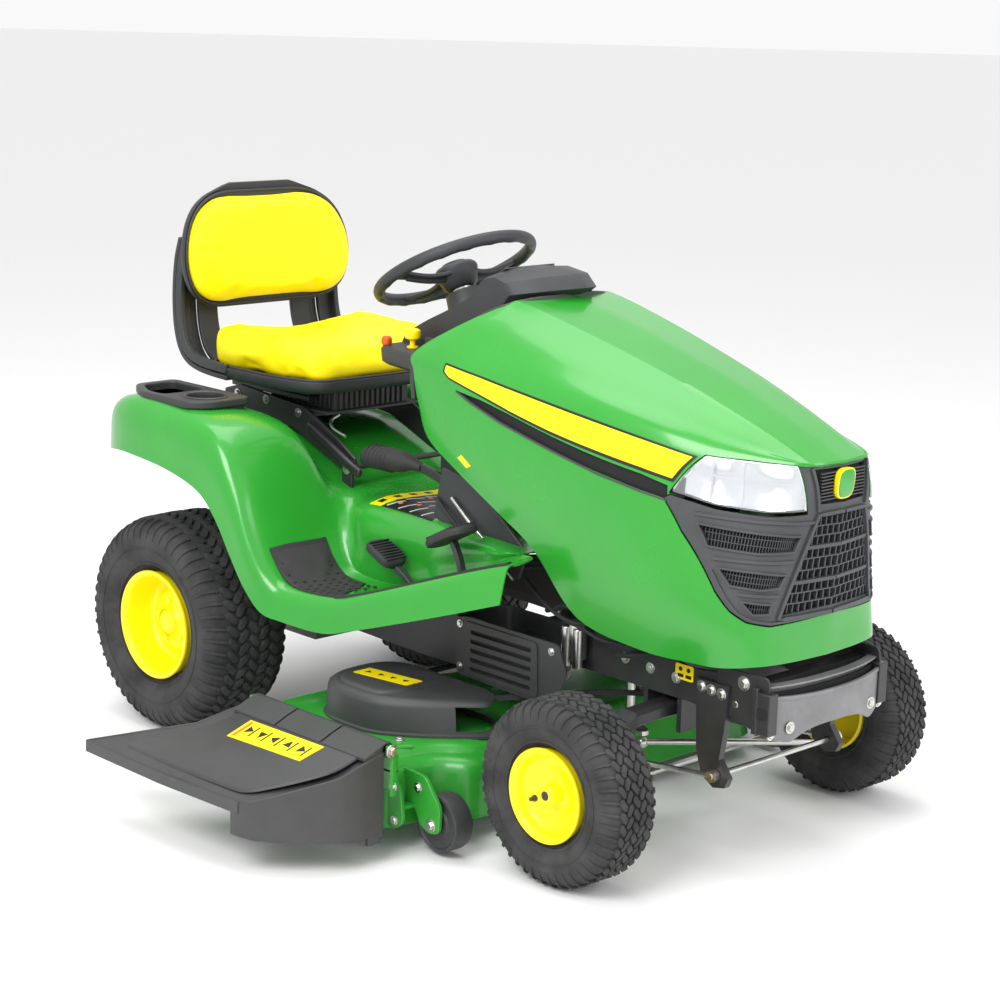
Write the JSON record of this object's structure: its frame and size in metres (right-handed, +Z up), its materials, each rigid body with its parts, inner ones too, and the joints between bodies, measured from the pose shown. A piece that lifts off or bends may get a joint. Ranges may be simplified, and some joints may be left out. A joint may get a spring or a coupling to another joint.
{
  "type": "riding lawn mower",
  "caption": "Lawn tractor with a tilting hood, steered front axle, tipping seat, pedals and a liftable side-discharge mower deck with spinning blades.",
  "frame": {"origin": "on the ground at the middle of the footprint, chute included", "axes": "+X forward, +Y to the operator's left, +Z up"},
  "size_m": [1.877, 1.549, 1.242],
  "materials": {
    "green_paint": "gloss green powder coat",
    "yellow_paint": "semi-gloss yellow enamel",
    "yellow_vinyl": "satin yellow vinyl",
    "black_plastic": "textured black plastic",
    "yellow_plastic": "moulded yellow plastic",
    "pedal_rubber": "ribbed black rubber pad",
    "black_paint": "satin black paint",
    "grey_plate": "dull grey pressed plate",
    "bright_steel": "zinc-plated steel",
    "cast_alloy": "rough cast alloy",
    "dull_steel": "heat-stained steel",
    "tyre_rubber": "dusty black rubber",
    "belt_rubber": "black wrapped belt",
    "lamp_lens": "clear lamp cover over a bright reflector"
  },
  "bodies": {
    "machine": {"frame": "black_paint", "bumper": "grey_plate", "transaxle_case": "cast_alloy", "engine_block": "cast_alloy", "muffler": "dull_steel", "battery": "black_plastic", "fuel_tank": "black_plastic", "dash_pod": "black_plastic", "fender_deck": "green_paint", "cup_tray": "black_plastic", "side_shield_right": "black_plastic", "side_shield_left": "black_plastic", "drive_belt": "belt_rubber"},
    "axle": {"front_axle": "black_paint"},
    "knuckle_r": {"knuckle_right": "black_paint"},
    "knuckle_l": {"knuckle_left": "black_paint"},
    "tie": {"tie_rod": "bright_steel"},
    "drag": {"drag_link": "bright_steel"},
    "sector": {"steering_sector": "bright_steel"},
    "pinion": {"steering_pinion": "bright_steel"},
    "helm": {"steering_wheel": "black_plastic"},
    "wheel_fr": {"tyre_front_right": "tyre_rubber", "rim_front_right": "yellow_paint"},
    "wheel_fl": {"tyre_front_left": "tyre_rubber", "rim_front_left": "yellow_paint"},
    "wheel_rr": {"tyre_rear_right": "tyre_rubber", "rim_rear_right": "yellow_paint"},
    "wheel_rl": {"tyre_rear_left": "tyre_rubber", "rim_rear_left": "yellow_paint"},
    "crank": {"engine_pulley": "bright_steel"},
    "input": {"transaxle_pulley": "cast_alloy"},
    "cap": {"fuel_cap": "black_plastic"},
    "bonnet": {"hood": "green_paint", "grille": "black_plastic", "headlight_right": "lamp_lens", "headlight_left": "lamp_lens"},
    "pto": {"pto_knob": "yellow_plastic"},
    "key": {"ignition_key": "bright_steel"},
    "throttle": {"throttle_lever": "black_plastic"},
    "seat_base": {"seat_bracket": "black_plastic"},
    "seat": {"seat_frame": "black_plastic", "seat_cushion": "yellow_vinyl", "back_cushion": "yellow_vinyl"},
    "pedal_forward": {"forward_pedal": "pedal_rubber"},
    "pedal_reverse": {"reverse_pedal": "pedal_rubber"},
    "pedal_brake": {"brake_pedal": "pedal_rubber"},
    "lift": {"lift_lever": "black_plastic"},
    "deck": {"deck_shell": "green_paint", "belt_cover_right": "black_plastic", "belt_cover_left": "black_plastic"},
    "cutter_r": {"spindle_right": "bright_steel", "blade_right": "bright_steel"},
    "cutter_c": {"spindle_center": "bright_steel", "blade_center": "bright_steel"},
    "cutter_l": {"spindle_left": "bright_steel", "blade_left": "bright_steel"},
    "discharge": {"chute": "black_plastic"},
    "roller_r": {"gauge_wheel_right": "black_plastic"},
    "roller_l": {"gauge_wheel_left": "black_plastic"},
    "draft": {"draft_rod": "bright_steel"}
  },
  "joints": [
    {"name": "steering_wheel_turn", "type": "hinge", "parent": "machine", "child": "helm", "pos_m": [-0.1935, 0.1505, 1.095], "axis": [-0.4894, 0, 0.8721], "range_deg": [-337.5, 337.5]},
    {"name": "steering_pinion_turn", "type": "hinge", "parent": "machine", "child": "pinion", "pos_m": [0.184, 0.1505, 0.32], "axis": [0, 0, 1], "range_deg": [-337.5, 337.5]},
    {"name": "steering_sector_turn", "type": "hinge", "parent": "machine", "child": "sector", "pos_m": [0.389, 0.1505, 0.32], "axis": [0, 0, 1], "range_deg": [-30.1, 30.1]},
    {"name": "axle_swing", "type": "hinge", "parent": "machine", "child": "axle", "pos_m": [0.6285, 0.1505, 0.292], "axis": [1, 0, 0], "range_deg": [-3, 3]},
    {"name": "kingpin_right_turn", "type": "hinge", "parent": "axle", "child": "knuckle_r", "pos_m": [0.6285, -0.1945, 0.19], "axis": [0, 0, 1], "range_deg": [-30.1, 30.1]},
    {"name": "kingpin_left_turn", "type": "hinge", "parent": "axle", "child": "knuckle_l", "pos_m": [0.6285, 0.4955, 0.19], "axis": [0, 0, 1], "range_deg": [-30.1, 30.1]},
    {"name": "tie_rod_turn", "type": "hinge", "parent": "knuckle_r", "child": "tie", "pos_m": [0.5505, -0.1745, 0.13], "axis": [0, 0, 1], "range_deg": [-30.1, 30.1]},
    {"name": "drag_link_turn", "type": "hinge", "parent": "knuckle_l", "child": "drag", "pos_m": [0.7065, 0.4505, 0.15], "axis": [0, 0, 1], "range_deg": [-30.1, 30.1]},
    {"name": "front_wheel_right_spin", "type": "hinge", "parent": "knuckle_r", "child": "wheel_fr", "pos_m": [0.6285, -0.2841, 0.19], "axis": [0, 1, 0], "continuous": true},
    {"name": "front_wheel_left_spin", "type": "hinge", "parent": "knuckle_l", "child": "wheel_fl", "pos_m": [0.6285, 0.5851, 0.19], "axis": [0, 1, 0], "continuous": true},
    {"name": "rear_wheel_right_spin", "type": "hinge", "parent": "machine", "child": "wheel_rr", "pos_m": [-0.6535, -0.2485, 0.252], "axis": [0, 1, 0], "continuous": true},
    {"name": "rear_wheel_left_spin", "type": "hinge", "parent": "machine", "child": "wheel_rl", "pos_m": [-0.6535, 0.5495, 0.252], "axis": [0, 1, 0], "continuous": true},
    {"name": "engine_spin", "type": "hinge", "parent": "machine", "child": "crank", "pos_m": [0.4765, 0.1505, 0.36], "axis": [0, 0, 1], "continuous": true},
    {"name": "transaxle_pulley_spin", "type": "hinge", "parent": "machine", "child": "input", "pos_m": [-0.6035, 0.1505, 0.38], "axis": [0, 0, 1], "continuous": true},
    {"name": "fuel_cap_turn", "type": "hinge", "parent": "machine", "child": "cap", "pos_m": [-0.7735, 0.5205, 0.8], "axis": [0, 0, 1], "range_deg": [0, 120]},
    {"name": "hood_tilt", "type": "hinge", "parent": "machine", "child": "bonnet", "pos_m": [0.8865, 0.1505, 0.425], "axis": [0, 1, 0], "range_deg": [0, 60]},
    {"name": "pto_knob_pull", "type": "slide", "parent": "machine", "child": "pto", "axis": [0, 0, 1], "range_m": [0, 0.01]},
    {"name": "ignition_key_turn", "type": "hinge", "parent": "machine", "child": "key", "pos_m": [-0.0935, -0.0145, 0.94], "axis": [0, 0, -1], "range_deg": [0, 60]},
    {"name": "throttle_lever_turn", "type": "hinge", "parent": "machine", "child": "throttle", "pos_m": [-0.1335, 0.3155, 0.944], "axis": [0, 1, 0], "range_deg": [-20, 20]},
    {"name": "seat_tilt", "type": "hinge", "parent": "machine", "child": "seat_base", "pos_m": [-0.3635, 0.1505, 0.628], "axis": [0, 1, 0], "range_deg": [0, 32]},
    {"name": "seat_slide", "type": "slide", "parent": "seat_base", "child": "seat", "axis": [1, 0, 0], "range_m": [-0.05, 0.05]},
    {"name": "forward_pedal_press", "type": "hinge", "parent": "machine", "child": "pedal_forward", "pos_m": [0.1765, -0.1495, 0.479], "axis": [0, 1, 0], "range_deg": [0, 15], "stiffness_Nm_per_rad": 10, "springref_deg": -8.59},
    {"name": "reverse_pedal_press", "type": "hinge", "parent": "machine", "child": "pedal_reverse", "pos_m": [0.0365, -0.1495, 0.4355], "axis": [0, -1, 0], "range_deg": [0, 12], "stiffness_Nm_per_rad": 10, "springref_deg": -8.59},
    {"name": "brake_pedal_press", "type": "hinge", "parent": "machine", "child": "pedal_brake", "pos_m": [0.1765, 0.4505, 0.479], "axis": [0, 1, 0], "range_deg": [0, 18], "stiffness_Nm_per_rad": 10, "springref_deg": -8.59},
    {"name": "deck_lift", "type": "slide", "parent": "machine", "child": "deck", "axis": [0, 0, 1], "range_m": [0, 0.065], "deforming": ["drive_belt"]},
    {"name": "lift_lever_turn", "type": "hinge", "parent": "machine", "child": "lift", "pos_m": [0.0065, -0.0095, 0.64], "axis": [0, -1, 0], "range_deg": [0, 12.1]},
    {"name": "draft_rod_turn", "type": "hinge", "parent": "machine", "child": "draft", "pos_m": [0.7945, 0.1505, 0.208], "axis": [0, 1, 0], "range_deg": [0, 10]},
    {"name": "blade_center_spin", "type": "hinge", "parent": "deck", "child": "cutter_c", "pos_m": [0.1265, 0.1505, 0.15], "axis": [0, 0, 1], "continuous": true},
    {"name": "blade_right_spin", "type": "hinge", "parent": "deck", "child": "cutter_r", "pos_m": [0.0265, -0.2545, 0.15], "axis": [0, 0, 1], "continuous": true},
    {"name": "blade_left_spin", "type": "hinge", "parent": "deck", "child": "cutter_l", "pos_m": [0.0265, 0.5555, 0.15], "axis": [0, 0, 1], "continuous": true},
    {"name": "chute_tilt", "type": "hinge", "parent": "deck", "child": "discharge", "pos_m": [0.1265, -0.4895, 0.236], "axis": [-1, 0, 0], "range_deg": [0, 80]},
    {"name": "gauge_wheel_right_spin", "type": "hinge", "parent": "deck", "child": "roller_r", "pos_m": [0.3715, -0.3695, 0.07], "axis": [0, 1, 0], "continuous": true},
    {"name": "gauge_wheel_left_spin", "type": "hinge", "parent": "deck", "child": "roller_l", "pos_m": [0.3715, 0.6705, 0.07], "axis": [0, 1, 0], "continuous": true}
  ],
  "couplings": [
    {"joint": "steering_pinion_turn", "follows": "steering_wheel_turn", "ratio": 1},
    {"joint": "steering_sector_turn", "follows": "steering_wheel_turn", "ratio": 0.088889},
    {"joint": "kingpin_right_turn", "follows": "steering_wheel_turn", "ratio": 0.088889},
    {"joint": "kingpin_left_turn", "follows": "steering_wheel_turn", "ratio": 0.088889},
    {"joint": "tie_rod_turn", "follows": "steering_wheel_turn", "ratio": -0.088889},
    {"joint": "drag_link_turn", "follows": "steering_wheel_turn", "ratio": -0.088889},
    {"joint": "transaxle_pulley_spin", "follows": "engine_spin", "ratio": 0.9286},
    {"joint": "blade_right_spin", "follows": "blade_center_spin", "ratio": 1},
    {"joint": "blade_left_spin", "follows": "blade_center_spin", "ratio": 1},
    {"joint": "lift_lever_turn", "follows": "deck_lift", "rad_per_m": 3.22},
    {"joint": "draft_rod_turn", "follows": "deck_lift", "rad_per_m": 2.6}
  ]
}
